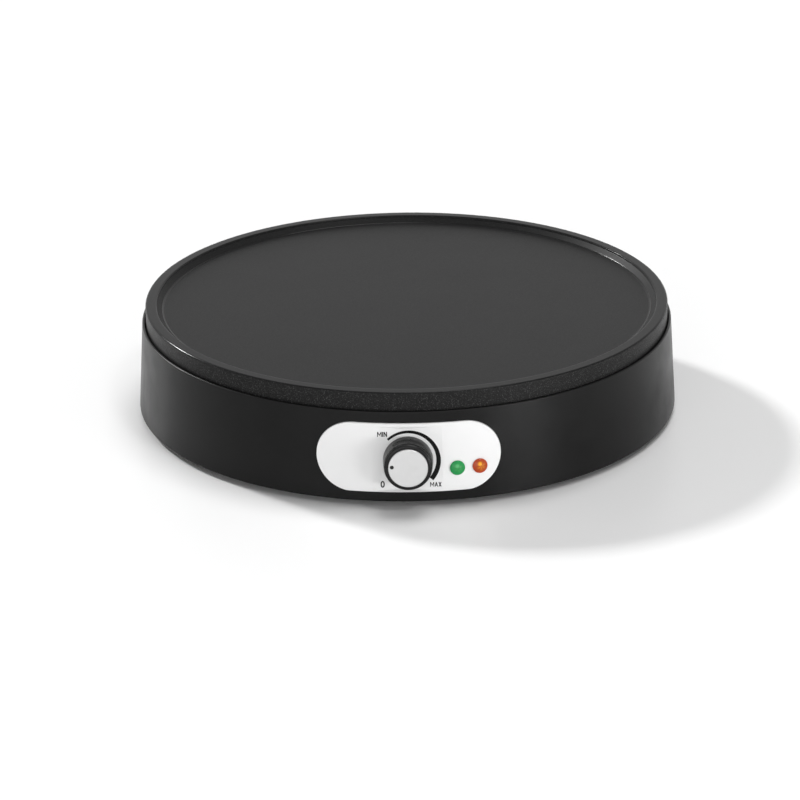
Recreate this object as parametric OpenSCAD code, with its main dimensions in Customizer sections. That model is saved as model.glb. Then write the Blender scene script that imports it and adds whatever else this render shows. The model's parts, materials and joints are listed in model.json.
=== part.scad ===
// Electric crepe maker: a cast cooking plate on a round moulded housing with a dial on the front.
// The stand surface is z = 0, +Z points up and the dial looks along -Y.

/* [Cooking plate] */
// Overall diameter of the cast cooking plate
plate_d = 320; // [280:1:400]
// Width of the raised rim, measured on top
rim_w = 7.2; // [5:0.1:12]
// Depth of the cooking recess below the rim
recess_depth = 4; // [2:0.5:6]
// Inward slope of the recess wall, seen from above
recess_slope = 2.5; // [1:0.1:5]
// Thickness of the plate under the recess
plate_t = 5; // [4:0.5:8]
// Rounding of the rim edges
rim_round = 1.2; // [0.4:0.1:2]
// Height of the rim above the housing
plate_rise = 10.9; // [9:0.1:16]
// Radial thickness of the skirt below the rim
skirt_t = 6; // [4:0.5:8]
// Reach of the skirt down behind the housing lip
skirt_overlap = 4; // [2:0.5:6]
// Distance of the four plate bosses from the centre, inside the skirt
boss_inset = 11; // [9:0.5:16]
// Diameter of the plate bosses
boss_d = 13; // [11:0.5:16]
// Height of the plate bosses under the plate
boss_h = 6.3; // [4:0.1:9]

/* [Heating] */
// Radius of the heating element ring
element_r = 100; // [90:1:115]
// Diameter of the heating element tube
element_d = 6.5; // [6:0.1:8]
// Angle left open between the two ends of the element
element_gap = 36; // [30:1:50]
// Radius of the bend that turns each end down
element_bend = 8; // [7:0.5:10]
// Straight length below each bend
element_pin = 6; // [4:0.5:8]
// Width of the cast ridge that holds the element
ridge_w = 13; // [11:0.5:18]
// Height of the cast ridge that holds the element
ridge_h = 5; // [4:0.5:6]
// Thickness of the sheet steel heat shield
shield_t = 0.8; // [0.6:0.1:1.5]
// Radius of the heat shield
shield_r = 128; // [122:1:130]
// Height of the stiffening edge of the heat shield
shield_edge = 6; // [3:0.5:8]
// Height of the four cast posts that carry the heat shield
shield_post_h = 13.3; // [11:0.1:15]
// Radius on which the shield posts stand
shield_post_r = 65; // [58:1:75]
// Height of the ceramic bushes between plate and housing
bush_h = 5; // [3:0.5:8]

/* [Housing] */
// Height of the housing wall
housing_h = 54.2; // [52:0.2:70]
// Lean of the housing wall, narrower at the top
wall_lean = 3.56; // [1:0.02:6]
// Thickness of the housing wall
wall_t = 3.2; // [2.8:0.1:4]
// Thickness of the lip that surrounds the plate
lip_t = 1.3; // [1:0.1:2]
// Open gap between the plate and the lip
plate_gap = 1; // [0.8:0.1:2]
// Rounding of the lower edge of the housing
base_edge_r = 0.8; // [0.5:0.1:2.5]
// Height of the lower edge above the stand surface
stand_gap = 3.2; // [3:0.1:7]
// Diameter of the mouldings that take the cover screws
screw_post_d = 9; // [8:0.5:11]

/* [Bottom cover] */
// Thickness of the bottom cover
cover_t = 2.4; // [2:0.1:3]
// Width of the screwed flange of the bottom cover
flange_w = 9; // [8:0.5:12]
// Height of the flange seat above the lower edge of the housing
flange_rise = 5.8; // [4.5:0.1:7]
// Clearance between the cover and the housing wall
cover_gap = 0.4; // [0.2:0.1:1]
// Number of places around the cover for ventilation slots and ribs
vent_count = 32; // [16:4:48]
// Width of the ventilation slots
vent_w = 7; // [3:0.5:8]
// Distance from the edge of the cover floor to the ring of slots
vent_inset = 54.7; // [49:0.1:61]
// Length of the ventilation slots
vent_l = 32; // [20:1:36]
// Height of the stiffening ribs on the cover
rib_h = 4; // [2:0.5:5]
// Thickness of the stiffening ribs
rib_t = 2; // [1.5:0.1:3]

/* [Feet] */
// Diameter of the rubber feet
foot_d = 18; // [14:0.5:22]
// Free height of the feet below the cover
foot_h = 2; // [1.5:0.1:3]
// Depth of the seat of a foot in the cover
foot_seat = 0.6; // [0.3:0.1:1]
// Distance of the feet from the edge of the cover floor
foot_inset = 14; // [12:0.5:20]

/* [Control panel] */
// Width of the control panel, seen from the front
panel_w = 105.8; // [100:0.1:116]
// Height of the control panel
panel_h = 41.6; // [38:0.1:44]
// Thickness of the control panel
panel_t = 2.6; // [2.4:0.1:3]
// Height of the panel over the housing wall
panel_proud = 0.9; // [0.6:0.1:1.2]
// Sideways shift of the panel from the dial axis
panel_shift = 0.4; // [0:0.1:3]
// Rounding of the long panel edges
panel_round = 0.8; // [0.3:0.1:1]
// Clearance around the panel in its pocket
panel_gap = 0.15; // [0.05:0.05:0.3]
// Depth of the flat dial seat at its middle
seat_depth = 1.2; // [0.8:0.1:1.3]
// Panel height left above the dial seat
seat_top_edge = 2; // [1:0.1:3]
// Panel height left below the dial seat
seat_low_edge = 0.5; // [0.5:0.1:1.5]
// Slope of the upper end of the dial seat
seat_top_slope = 40; // [30:1:60]
// Slope of the lower end of the dial seat
seat_low_slope = 45; // [30:1:60]

/* [Dial] */
// Diameter of the dial at the panel
dial_d = 28.8; // [26:0.2:32]
// Diameter of the dial at its front ring
dial_front_d = 27.4; // [25:0.2:29]
// Reach of the front ring of the dial from the housing wall
dial_reach = 13.5; // [11:0.1:16]
// Height of the front ring of the dial
dial_ring_h = 1.9; // [1.5:0.1:5]
// Depth of the step between skirt and front ring
dial_step = 0.2; // [0.1:0.1:1]
// Wall thickness of the dial
dial_wall = 1.8; // [1.5:0.1:2.2]
// Running gap between the dial and its flat seat
dial_gap = 0.4; // [0.2:0.1:1]
// Diameter of the inset cap
cap_d = 22.6; // [20:0.2:24]
// Depth of the cap in the front of the dial
cap_t = 1.4; // [1:0.1:2]
// Height of the cap over the front ring
cap_proud = 1; // [0:0.1:1.5]
// Diameter of the pointer dot
dot_d = 2.2; // [1.5:0.1:3]
// Distance of the pointer dot from the dial axis
dot_r = 9.3; // [7:0.1:9.5]
// Direction of the pointer dot at rest, counter-clockwise from the right
dot_angle = 175; // [0:5:360]
// Distance of the dial axis below the middle of the panel
dial_drop = 1.5; // [0:0.1:4]
// Diameter of the thermostat shaft
shaft_d = 6; // [5:0.1:6.4]
// Depth of the flat on the thermostat shaft
shaft_flat = 1.5; // [1:0.1:2]
// Running clearance around the shaft
shaft_gap = 0.05; // [0.02:0.01:0.1]

/* [Indicator lamps] */
// Diameter of the domed lenses
lens_d = 8.7; // [8:0.1:10]
// Height of the dome of a lens
lens_dome = 1.7; // [1:0.1:2.5]
// Diameter of the lens shank
lens_shank_d = 7; // [6:0.1:7.4]
// Distance from the end of the panel to the far lamp
lamp_inset = 11.9; // [8.5:0.1:14]
// Distance between the two lamps, along the wall
lamp_pitch = 13.2; // [11:0.1:15]
// Distance of the lamps below the middle of the panel
lamp_drop = 6.9; // [4:0.1:10]
// Diameter of the glow lamps
bulb_d = 5; // [4:0.1:5.2]

/* [Thermostat] */
// Distance of the thermostat bracket behind the housing surface
bracket_depth = 12; // [11:0.5:15]
// Thickness of the thermostat bracket
bracket_t = 1.2; // [1:0.1:2]
// Distance of the bracket screws from the dial axis
bracket_screw_x = 21; // [20:0.5:24]
// Height of the bracket screws above the dial axis
bracket_screw_y = 6; // [5:0.5:7]
// Width of the thermostat
thermostat_w = 32; // [28:0.5:33]
// Height of the thermostat
thermostat_h = 28; // [24:0.5:32]
// Depth of the thermostat
thermostat_l = 16; // [14:0.5:20]
// Diameter of the threaded collar
collar_d = 10; // [9.5:0.1:12]

/* [Connections] */
// Width of the terminal block
block_w = 38; // [36:0.5:44]
// Depth of the terminal block
block_l = 16; // [14:0.5:20]
// Height of the terminal block
block_h = 14; // [12:0.5:18]
// Distance between the poles
pole_pitch = 12; // [10:0.5:13]
// Diameter of the insulated leads
lead_d = 2.6; // [2:0.1:3]
// Height of the cord gland above the stand surface
gland_z = 20; // [18:0.5:24]
// Bore of the cord gland
gland_bore = 7; // [6:0.1:8]
// Diameter of the neck of the gland
gland_neck = 11.8; // [11:0.1:13]
// Width of the flanges of the gland around the neck
gland_lip = 2.6; // [2:0.1:4]

/* [Hidden] */
$fn = 96;

// Small shared values
eps = 0.01;           // overlap that makes a cut or a union clean
far = 1000;           // longer than anything in the model
arc_steps = 6;        // straight steps in a rounded profile corner
seat_gap = 0.05;      // gap at a round seat that is assembled by hand
screw_gap = 0.2;      // clearance of a hole around a screw, on the radius
lead_sides = 8;       // sides of a lead
corner_r = 1.5;       // inner rounding in the castings and mouldings

// Levels above the stand surface
housing_low = stand_gap;
housing_top = housing_low + housing_h;
rim_z = housing_top + plate_rise;
floor_z = rim_z - recess_depth;
under_z = floor_z - plate_t;
skirt_low = housing_top - skirt_overlap;
boss_low = under_z - boss_h;
bush_low = boss_low - bush_h;
flange_top = housing_low + flange_rise;
flange_low = flange_top - cover_t;
cover_low = foot_h;
cover_top = cover_low + cover_t;

// Radii of the plate and the housing
plate_r = plate_d / 2;
recess_r = plate_r - rim_w;
skirt_r = plate_r - skirt_t;
lip_r = plate_r + plate_gap;
top_r = lip_r + lip_t;
function wall_r(z) = top_r + (housing_top - z) * tan(wall_lean);
wall_n = wall_t * cos(wall_lean);
// How far the inside of the wall curves in at a distance to the side
function sagitta(x, z) = x * x / (2 * (wall_r(z) - wall_t - x));
ledge_drop = 1.5;
ledge_z = skirt_low - ledge_drop;
boss_r = skirt_r - boss_inset;
cover_r = wall_r(flange_top) - wall_t - cover_gap;
dish_r = cover_r - flange_w;
foot_r = dish_r - foot_inset;
cover_screw_r = cover_r - flange_w / 2;
boss_angles = [45, 135, 225, 315];
cover_screw_angles = [15, 165, 195, 345];

// Heating: the element lies in a groove of the cast ridge
ridge_low = under_z - ridge_h;
element_sink = 1.25;
element_z = ridge_low + element_sink;
element_arc = 360 - element_gap;
rear = 90;
element_start = rear + element_gap / 2;
pin_low = element_z - element_bend - element_pin;
insulator_d = element_d + 1.5;
insulator_h = 6;
tab_w = 6.3;
tab_t = 0.8;
tab_l = 8;
tab_gap = 0.3;
pin_x = element_r * sin(element_gap / 2) - element_bend * cos(element_gap / 2);
pin_y = element_r * cos(element_gap / 2) + element_bend * sin(element_gap / 2);
element_tab_z = pin_low - insulator_h - tab_l;
shield_post_d = 9;
shield_post_angles = [30, 150, 210, 330];
shield_top = under_z - shield_post_h;
shield_notch_w = 80;
shield_notch_y = 25;
shield_clear = 2;

// Sensors under the plate, inside the notch of the heat shield
fuse_d = 6;
fuse_l = 18;
fuse_y = 66;
bulb_x = -13;
sensor_d = 5;
sensor_l = 36;
sensor_y = 72;
capillary_d = 2;
clip_t = 0.8;
clip_w = 8;
clip_foot = 8;
fuse_clip_y = fuse_y + fuse_l / 2;
bulb_clip_y = sensor_y + sensor_l - clip_w;
function clip_screw_x(d) = d / 2 + seat_gap + clip_t + clip_foot / 2;
earth_x = 20;
earth_y = 60;
earth_boss_h = 9;
lug_t = 1;
lug_d = 9;

// Screws: shank, head diameter and head height
m4 = [3.8, 7.6, 2.6];
m3 = [2.8, 5.4, 2];
plate_screw_grip = 8;
plate_screw_bite = 7;
cover_screw_bite = 9;
shield_screw_bite = 7;
bracket_screw_bite = 5;
small_bite = 3.5;
hole_spare = 1;
tower_low = 16;
web_t = 3;

// Control panel on the leaning wall
panel_z = (housing_low + housing_top) / 2 - 0.3;
panel_in = (panel_t - panel_proud) / cos(wall_lean);
panel_out = panel_proud / cos(wall_lean);
panel_top = panel_z + panel_h / 2;
panel_low = panel_z - panel_h / 2;
dial_z = panel_z - dial_drop;
lamp_z = panel_z - lamp_drop;
seat_level = panel_proud - seat_depth;
lamp_x = panel_w / 2 + panel_shift - lamp_inset - lamp_pitch;
lamp_r = wall_r(lamp_z);
function lamp_angle(i) = (lamp_x + i * lamp_pitch) / lamp_r * 180 / PI;

// Dial, measured outwards from the housing surface along its axis
dial_back = seat_level + dial_gap;
ring_back = dial_reach - dial_ring_h;
cap_back = dial_reach - cap_t;
cap_front = dial_reach + cap_proud;
web_back = cap_back - dial_wall;
hub_d = shaft_d + 4;
shaft_front = web_back - 0.5;
shaft_hole_d = shaft_d + 2;
dial_round = min(1.4, (dial_front_d - cap_d) / 2 - 0.3);
dial_groove = 0.5;
dot_pin = 1;
cap_edge = 0.3;

// Thermostat, measured along the same axis
bracket_back = -bracket_depth - bracket_t;
body_back = bracket_back - thermostat_l;
bracket_h = 24;
ear_h = 9;
bracket_post_d = 8;
nut_d = collar_d + 5;
nut_h = 3;
collar_front = -bracket_depth + nut_h + 1;
shaft_back = bracket_back - 8;
tab_x = 8;
tab_y = 6;
tab_end = body_back - tab_l;

// Lamps, measured along their own axes
lens_rim = 0.7;
lens_back = -wall_n - 4;
lens_bore_d = bulb_d + 0.4;
lens_floor = panel_proud - 0.3;
retainer_t = 0.8;
retainer_d = lens_shank_d + 4;
retainer_clear = sagitta(retainer_d / 2, lamp_z) + seat_gap;
bulb_back = lens_back - 2.5;
lamp_lead_d = 2;
lamp_loop = 26;
lamp_step = 16;       // how much deeper the second lead loops, clear of the first

// Terminal block on the cover, and the cord gland in the rear wall
block_inset = 22.7;   // from the edge of the cover floor to the back of the block
block_y = dish_r - block_inset - block_l / 2;
block_face = block_y - block_l / 2;
pole_z = cover_top + block_h / 2;
pole_hole = lead_d + 0.8;
pole_screw_d = 4;
pole_screw_h = 5;
gland_front = 2.2;
gland_back = 2.3;
gland_flat = 0.3;
gland_hole_gap = 0.1;

// How far each lead runs straight on from its ends
live_pull = 60;
fuse_pull = 28;
fuse_drop = 6;
fuse_loop = 16;
pole_pull = 20;
earth_pull = 30;
lug_pull = 22;
tab_pull = 14;
switched_pull = [0, 120, -30];
capillary_pull = 30;
capillary_low = [0, 0, 5];

// Feet and ribs of the bottom cover
foot_stem_d = 5;
foot_head_d = 8;
foot_head_h = 2;
rib_margin = 5;
rib_step = 4;         // every fourth place has a rib, the others a slot
rib_place = 2;
vent_r = dish_r - vent_inset - vent_l;
inner_rib_r = vent_r - rib_margin;
outer_rib_r = vent_r + vent_l + rib_margin;

// The round body stands so that its dial and gland reach equally far from the origin
front_reach = wall_r(dial_z) + cap_front * cos(wall_lean);
rear_reach = wall_r(gland_z) + gland_front * cos(wall_lean);
axis_y = (front_reach - rear_reach) / 2;

// ---------- Helpers ----------

// Points of an arc in a profile
function arc(centre, r, from, to) =
    [for (i = [0:arc_steps]) centre + r * [
        cos(from + (to - from) * i / arc_steps),
        sin(from + (to - from) * i / arc_steps)
    ]];

function unit(v) = v / norm(v);

// A smooth path through the space between two ends, each with its own direction
function bezier(p, t) =
    pow(1 - t, 3) * p[0] + 3 * pow(1 - t, 2) * t * p[1] + 3 * (1 - t) * t * t * p[2] + t * t * t * p[3];
function heading(p, t) =
    unit(pow(1 - t, 2) * (p[1] - p[0]) + 2 * (1 - t) * t * (p[2] - p[1]) + t * t * (p[3] - p[2]));
function ring(p, t, d, side) =
    let (u = unit(cross(heading(p, t), side)), v = cross(heading(p, t), u))
    [for (k = [0:lead_sides - 1])
        let (a = 360 * k / lead_sides) bezier(p, t) + d / 2 * (cos(a) * u + sin(a) * v)];

// A round lead swept along a smooth path that never runs along the direction side
module lead(p, steps, d, side = [1, 0, 0]) {
    polyhedron(
        points = [for (i = [0:steps]) each ring(p, i / steps, d, side)],
        faces = concat(
            [[for (k = [0:lead_sides - 1]) k]],
            [for (i = [0:steps - 1], k = [0:lead_sides - 1])
                let (a = i * lead_sides, n = (k + 1) % lead_sides)
                [a + k, a + lead_sides + k, a + lead_sides + n, a + n]],
            [[for (k = [lead_sides - 1:-1:0]) steps * lead_sides + k]]
        )
    );
}

// Everything is drawn around the axis of the plate and then moved to its place
module placed() {
    translate([0, axis_y, 0]) children();
}

// A place on the leaning wall: x to the right, y up the wall and z outwards
module on_wall(angle, z) {
    rotate([0, 0, angle])
        translate([0, -wall_r(z), z])
            rotate([90 - wall_lean, 0, 0])
                children();
}

// The same place as a point, for the ends of the leads
function wall_point(angle, z, p) =
    let (
        y = -wall_r(z) + p.y * sin(wall_lean) - p.z * cos(wall_lean),
        h = z + p.y * cos(wall_lean) + p.z * sin(wall_lean)
    )
    [p.x * cos(angle) - y * sin(angle), p.x * sin(angle) + y * cos(angle), h];

module at_angle(angle, r) {
    rotate([0, 0, angle]) translate([r, 0, 0]) children();
}

// A pan head screw that stands on its head, with the shank from z = 0 upwards
module screw(size, length) {
    translate([0, 0, -size[2]]) cylinder(d = size[1], h = size[2]);
    translate([0, 0, -eps]) cylinder(d = size[0], h = length + eps);
}

module screw_hole(size, length) {
    translate([0, 0, -eps]) cylinder(d = size[0] + 2 * screw_gap, h = length + eps);
}

// A layer of the leaning wall, between two distances from its outer surface
module wall_layer(inner, outer, low, high) {
    rotate_extrude()
        polygon([
            [wall_r(low) + inner, low], [wall_r(low) + outer, low],
            [wall_r(high) + outer, high], [wall_r(high) + inner, high]
        ]);
}

// Everything inside the leaning wall, down to a distance from its outer surface
module wall_core(depth, low, high) {
    rotate_extrude()
        polygon([[0, low], [wall_r(low) - depth, low], [wall_r(high) - depth, high], [0, high]]);
}

// The stadium outline of the panel, as a prism through the front wall
module panel_prism(grow) {
    half = panel_w / 2 - panel_h / 2;
    translate([panel_shift, 0, panel_z])
        rotate([90, 0, 0])
            linear_extrude(height = far) {
                translate([-half, -panel_h / 2 - grow]) square([2 * half, panel_h + 2 * grow]);
                for (side = [-1, 1]) translate([side * half, 0]) circle(r = panel_h / 2 + grow);
            }
}

// ---------- Cooking plate and heating ----------

module hot_plate() {
    placed() color([0.14, 0.14, 0.145])
        difference() {
            union() {
                rotate_extrude() plate_profile();
                for (a = boss_angles)
                    at_angle(a, boss_r) translate([0, 0, boss_low]) cylinder(d = boss_d, h = boss_h + eps);
                for (a = shield_post_angles)
                    at_angle(a, shield_post_r)
                        translate([0, 0, shield_top]) cylinder(d = shield_post_d, h = shield_post_h + eps);
                element_ridge();
                translate([earth_x, earth_y, under_z - earth_boss_h])
                    cylinder(d = shield_post_d, h = earth_boss_h + eps);
            }
            rotate([0, 0, element_start - hole_spare])
                rotate_extrude(angle = element_arc + 2 * hole_spare) element_groove();
            for (a = boss_angles)
                at_angle(a, boss_r) translate([0, 0, boss_low]) screw_hole(m4, plate_screw_bite + hole_spare);
            for (a = shield_post_angles)
                at_angle(a, shield_post_r)
                    translate([0, 0, shield_top]) screw_hole(m4, shield_screw_bite + hole_spare);
            translate([earth_x, earth_y, under_z - earth_boss_h])
                screw_hole(m4, shield_screw_bite + hole_spare);
            clip_screw_places(under_z) screw_hole(m3, small_bite);
        }
}

module plate_profile() {
    inner_top = recess_r + rim_round;
    polygon(concat(
        [[0, under_z], [0, floor_z], [recess_r - recess_slope - corner_r, floor_z]],
        arc([recess_r - recess_slope - corner_r, floor_z + corner_r], corner_r, -90, -45),
        [[recess_r, rim_z - rim_round]],
        arc([inner_top, rim_z - rim_round], rim_round, 180, 90),
        arc([plate_r - rim_round, rim_z - rim_round], rim_round, 90, 0),
        [[plate_r, skirt_low], [skirt_r, skirt_low], [skirt_r, under_z - corner_r]],
        arc([skirt_r - corner_r, under_z - corner_r], corner_r, 0, 90)
    ));
}

module element_ridge() {
    rotate([0, 0, element_start])
        rotate_extrude(angle = element_arc)
            translate([element_r - ridge_w / 2, ridge_low]) square([ridge_w, ridge_h + eps]);
}

module element_groove() {
    groove_r = element_d / 2 + seat_gap;
    translate([element_r, element_z]) circle(r = groove_r);
    translate([element_r - groove_r, ridge_low - hole_spare])
        square([2 * groove_r, element_sink + hole_spare]);
}

module heating_element() {
    placed() color([0.45, 0.44, 0.43]) {
        rotate([0, 0, element_start])
            rotate_extrude(angle = element_arc) translate([element_r, element_z]) circle(d = element_d);
        element_end(element_start, 180);
        element_end(element_start + element_arc, 0);
    }
}

// The end of the element turns off the ring and then straight down
module element_end(angle, turn) {
    at_angle(angle, element_r)
        translate([0, 0, element_z - element_bend])
            rotate([0, 0, turn]) {
                rotate([0, -90, 0])
                    rotate_extrude(angle = 90) translate([element_bend, 0]) circle(d = element_d);
                translate([0, element_bend, -element_pin]) cylinder(d = element_d, h = element_pin);
            }
}

module at_pins(z) {
    for (side = [-1, 1]) translate([side * pin_x, pin_y, z]) children();
}

module element_insulators() {
    placed() color([0.9, 0.88, 0.82])
        at_pins(pin_low - insulator_h) cylinder(d = insulator_d, h = insulator_h);
}

module element_tabs() {
    placed() color([0.75, 0.75, 0.74])
        at_pins(element_tab_z)
            translate([-tab_w / 2, -tab_t / 2, 0]) cube([tab_w, tab_t, tab_l]);
}

module insulating_bushes() {
    placed() color([0.92, 0.9, 0.85])
        for (a = boss_angles)
            at_angle(a, boss_r)
                translate([0, 0, bush_low])
                    difference() {
                        cylinder(d = boss_d, h = bush_h);
                        screw_hole(m4, bush_h + hole_spare);
                    }
}

module plate_screws() {
    placed() color([0.7, 0.7, 0.7])
        for (a = boss_angles)
            at_angle(a, boss_r)
                translate([0, 0, bush_low - plate_screw_grip])
                    screw(m4, plate_screw_grip + bush_h + plate_screw_bite);
}

module heat_shield() {
    placed() color([0.68, 0.69, 0.7])
        difference() {
            rotate_extrude()
                polygon([
                    [0, shield_top - shield_t], [shield_r, shield_top - shield_t],
                    [shield_r, shield_top + shield_edge], [shield_r - shield_t, shield_top + shield_edge],
                    [shield_r - shield_t, shield_top], [0, shield_top]
                ]);
            translate([-shield_notch_w / 2, shield_notch_y, shield_top - shield_t - hole_spare])
                cube([shield_notch_w, far, shield_edge + 2 * shield_t + 2 * hole_spare]);
            for (a = boss_angles)
                at_angle(a, boss_r)
                    translate([0, 0, shield_top - shield_t - hole_spare])
                        cylinder(
                            d = boss_d + 2 * shield_clear,
                            h = shield_edge + 2 * shield_t + 2 * hole_spare
                        );
            for (a = shield_post_angles)
                at_angle(a, shield_post_r)
                    translate([0, 0, shield_top - shield_t]) screw_hole(m4, shield_t + hole_spare);
        }
}

module shield_screws() {
    placed() color([0.7, 0.7, 0.7])
        for (a = shield_post_angles)
            at_angle(a, shield_post_r)
                translate([0, 0, shield_top - shield_t]) screw(m4, shield_t + shield_screw_bite);
}

// ---------- Sensors under the plate ----------

module sensor_bulb() {
    placed() color([0.72, 0.52, 0.36])
        translate([bulb_x, sensor_y, under_z - seat_gap - sensor_d / 2])
            rotate([-90, 0, 0]) cylinder(d = sensor_d, h = sensor_l);
}

module thermal_fuse() {
    placed() color([0.88, 0.86, 0.8])
        translate([0, fuse_y, under_z - seat_gap - fuse_d / 2])
            rotate([-90, 0, 0]) cylinder(d = fuse_d, h = fuse_l);
}

// A strap that bridges a sensor and is screwed down beside it
module sensor_clip(x, y, d) {
    inner = d / 2 + seat_gap;
    outer = inner + clip_t;
    foot = outer + clip_foot;
    translate([x, y + clip_w / 2, under_z - seat_gap - d / 2])
        rotate([90, 0, 0])
            linear_extrude(height = clip_w)
                difference() {
                    union() {
                        circle(r = outer);
                        translate([-outer, 0]) square([2 * outer, inner]);
                        translate([0, inner - clip_t]) square([foot, clip_t]);
                    }
                    circle(r = inner);
                    translate([-inner, 0]) square([2 * inner, far]);
                    translate([-outer, inner]) square([2 * outer, far]);
                }
}

module sensor_clips() {
    placed() color([0.72, 0.72, 0.7])
        difference() {
            union() {
                sensor_clip(0, fuse_clip_y, fuse_d);
                sensor_clip(bulb_x, bulb_clip_y, sensor_d);
            }
            clip_screw_places(under_z - clip_t) screw_hole(m3, clip_t + hole_spare);
        }
}

module clip_screw_places(z) {
    translate([clip_screw_x(fuse_d), fuse_clip_y, z]) children();
    translate([bulb_x + clip_screw_x(sensor_d), bulb_clip_y, z]) children();
}

module clip_screws() {
    placed() color([0.7, 0.7, 0.7])
        clip_screw_places(under_z - clip_t) screw(m3, clip_t + small_bite - hole_spare);
}

module earth_lug() {
    placed() color([0.8, 0.65, 0.3])
        translate([earth_x, earth_y, under_z - earth_boss_h - lug_t])
            difference() {
                union() {
                    cylinder(d = lug_d, h = lug_t);
                    translate([-lead_d / 2, 0, 0]) cube([lead_d, lug_d, lug_t]);
                }
                screw_hole(m4, lug_t + hole_spare);
            }
}

module earth_screw() {
    placed() color([0.8, 0.65, 0.3])
        translate([earth_x, earth_y, under_z - earth_boss_h - lug_t]) screw(m4, lug_t + shield_screw_bite);
}

module capillary_tube() {
    bulb_end = [bulb_x, sensor_y - tab_gap, under_z - seat_gap - sensor_d / 2];
    body_end = wall_point(0, dial_z, [-thermostat_w / 4, thermostat_h / 3, body_back - tab_gap]);
    placed() color([0.72, 0.5, 0.34])
        lead([
            bulb_end, bulb_end - [0, capillary_pull, 0], [bulb_x, 0, 0] + capillary_low, body_end
        ], 14, capillary_d);
}

// ---------- Housing and bottom cover ----------

module housing_profile() {
    base_z = housing_low + base_edge_r;
    polygon(concat(
        [[wall_r(housing_low) - wall_t, housing_low]],
        arc([wall_r(base_z) - base_edge_r, base_z], base_edge_r, -90, 0),
        arc([top_r - lip_t / 2, housing_top - lip_t / 2], lip_t / 2, 0, 90),
        [
            [lip_r, housing_top], [lip_r, ledge_z],
            [wall_r(ledge_z) - wall_t, ledge_z - ledge_drop]
        ]
    ));
}

module housing() {
    placed() color([0.13, 0.13, 0.135])
        difference() {
            union() {
                rotate_extrude() housing_profile();
                for (a = boss_angles) rotate([0, 0, a]) plate_tower();
                for (a = cover_screw_angles) rotate([0, 0, a]) cover_post();
                bracket_posts();
            }
            intersection() {
                wall_layer(-panel_in - seat_gap, wall_t, panel_low - 1, panel_top + 1);
                panel_prism(panel_gap);
            }
            wall_holes(panel_gap);
            on_wall(180, gland_z) {
                translate([0, 0, -gland_flat])
                    cylinder(r = gland_neck / 2 + gland_lip + panel_gap, h = wall_t);
                translate([0, 0, -2 * wall_t])
                    cylinder(r = gland_neck / 2 + gland_hole_gap, h = 3 * wall_t);
            }
        }
}

// A tower inside the wall that carries the cooking plate on its bush
module plate_tower() {
    wall_in = wall_r(tower_low) - wall_t / 2;
    difference() {
        union() {
            translate([boss_r, 0, tower_low]) cylinder(d = boss_d, h = bush_low - tower_low);
            intersection() {
                translate([boss_r, -web_t / 2, tower_low])
                    cube([wall_in - boss_r, web_t, bush_low - tower_low]);
                wall_core(wall_t / 2, tower_low - 1, bush_low + 1);
            }
        }
        translate([boss_r, 0, tower_low - hole_spare])
            cylinder(d = m4[1] + 1, h = bush_low - plate_screw_grip - tower_low + hole_spare);
        translate([boss_r, 0, tower_low]) cylinder(d = m4[0] + 2 * screw_gap, h = far);
    }
}

// A moulding on the wall that takes a cover screw
module cover_post() {
    post_h = cover_screw_bite + 3;
    difference() {
        intersection() {
            translate([0, 0, flange_top]) {
                translate([cover_screw_r, 0, 0]) cylinder(d = screw_post_d, h = post_h);
                translate([cover_screw_r, -screw_post_d / 2, 0])
                    cube([flange_w + wall_t, screw_post_d, post_h]);
            }
            wall_core(wall_t / 2, housing_low, housing_top);
        }
        translate([cover_screw_r, 0, flange_top]) screw_hole(m4, cover_screw_bite + hole_spare);
    }
}

// Two posts behind the panel that carry the thermostat bracket
module bracket_posts() {
    on_wall(0, dial_z)
        for (side = [-1, 1])
            translate([side * bracket_screw_x, bracket_screw_y, -bracket_depth])
                difference() {
                    cylinder(d = bracket_post_d, h = bracket_depth - panel_in);
                    screw_hole(m3, bracket_screw_bite + hole_spare / 2);
                }
}

// Holes for the shaft and the lenses, through the wall and the panel
module wall_holes(clearance) {
    on_wall(0, dial_z) translate([0, 0, -2 * wall_t]) cylinder(d = shaft_hole_d, h = 4 * wall_t);
    for (i = [0, 1])
        on_wall(lamp_angle(i), lamp_z)
            translate([0, 0, -2 * wall_t]) cylinder(d = lens_shank_d + 2 * clearance, h = 4 * wall_t);
}

module bottom_cover() {
    placed() color([0.16, 0.16, 0.165])
        difference() {
            union() {
                rotate_extrude()
                    polygon([
                        [0, cover_low], [dish_r - cover_t, cover_low], [dish_r, cover_low + cover_t],
                        [dish_r, flange_low], [cover_r, flange_low], [cover_r, flange_top],
                        [dish_r - cover_t, flange_top], [dish_r - cover_t, cover_top], [0, cover_top]
                    ]);
                for (r = [inner_rib_r, outer_rib_r]) ring_rib(r);
                for (i = [0:vent_count - 1]) if (i % rib_step == rib_place) at_vent(i) vent_rib();
            }
            for (i = [0:vent_count - 1]) if (i % rib_step != rib_place) at_vent(i) vent_slot();
            for (a = cover_screw_angles)
                at_angle(a, cover_screw_r)
                    translate([0, 0, flange_low]) screw_hole(m4, cover_t + hole_spare);
            for (a = boss_angles) at_angle(a, foot_r) foot_cut();
        }
}

module ring_rib(r) {
    translate([0, 0, cover_top - eps])
        difference() {
            cylinder(r = r + rib_t / 2, h = rib_h);
            translate([0, 0, -eps]) cylinder(r = r - rib_t / 2, h = rib_h + 2 * eps);
        }
}

module at_vent(i) {
    rotate([0, 0, i * 360 / vent_count]) children();
}

module vent_rib() {
    translate([inner_rib_r, -rib_t / 2, cover_top - eps])
        cube([outer_rib_r - inner_rib_r, rib_t, rib_h]);
}

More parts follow.
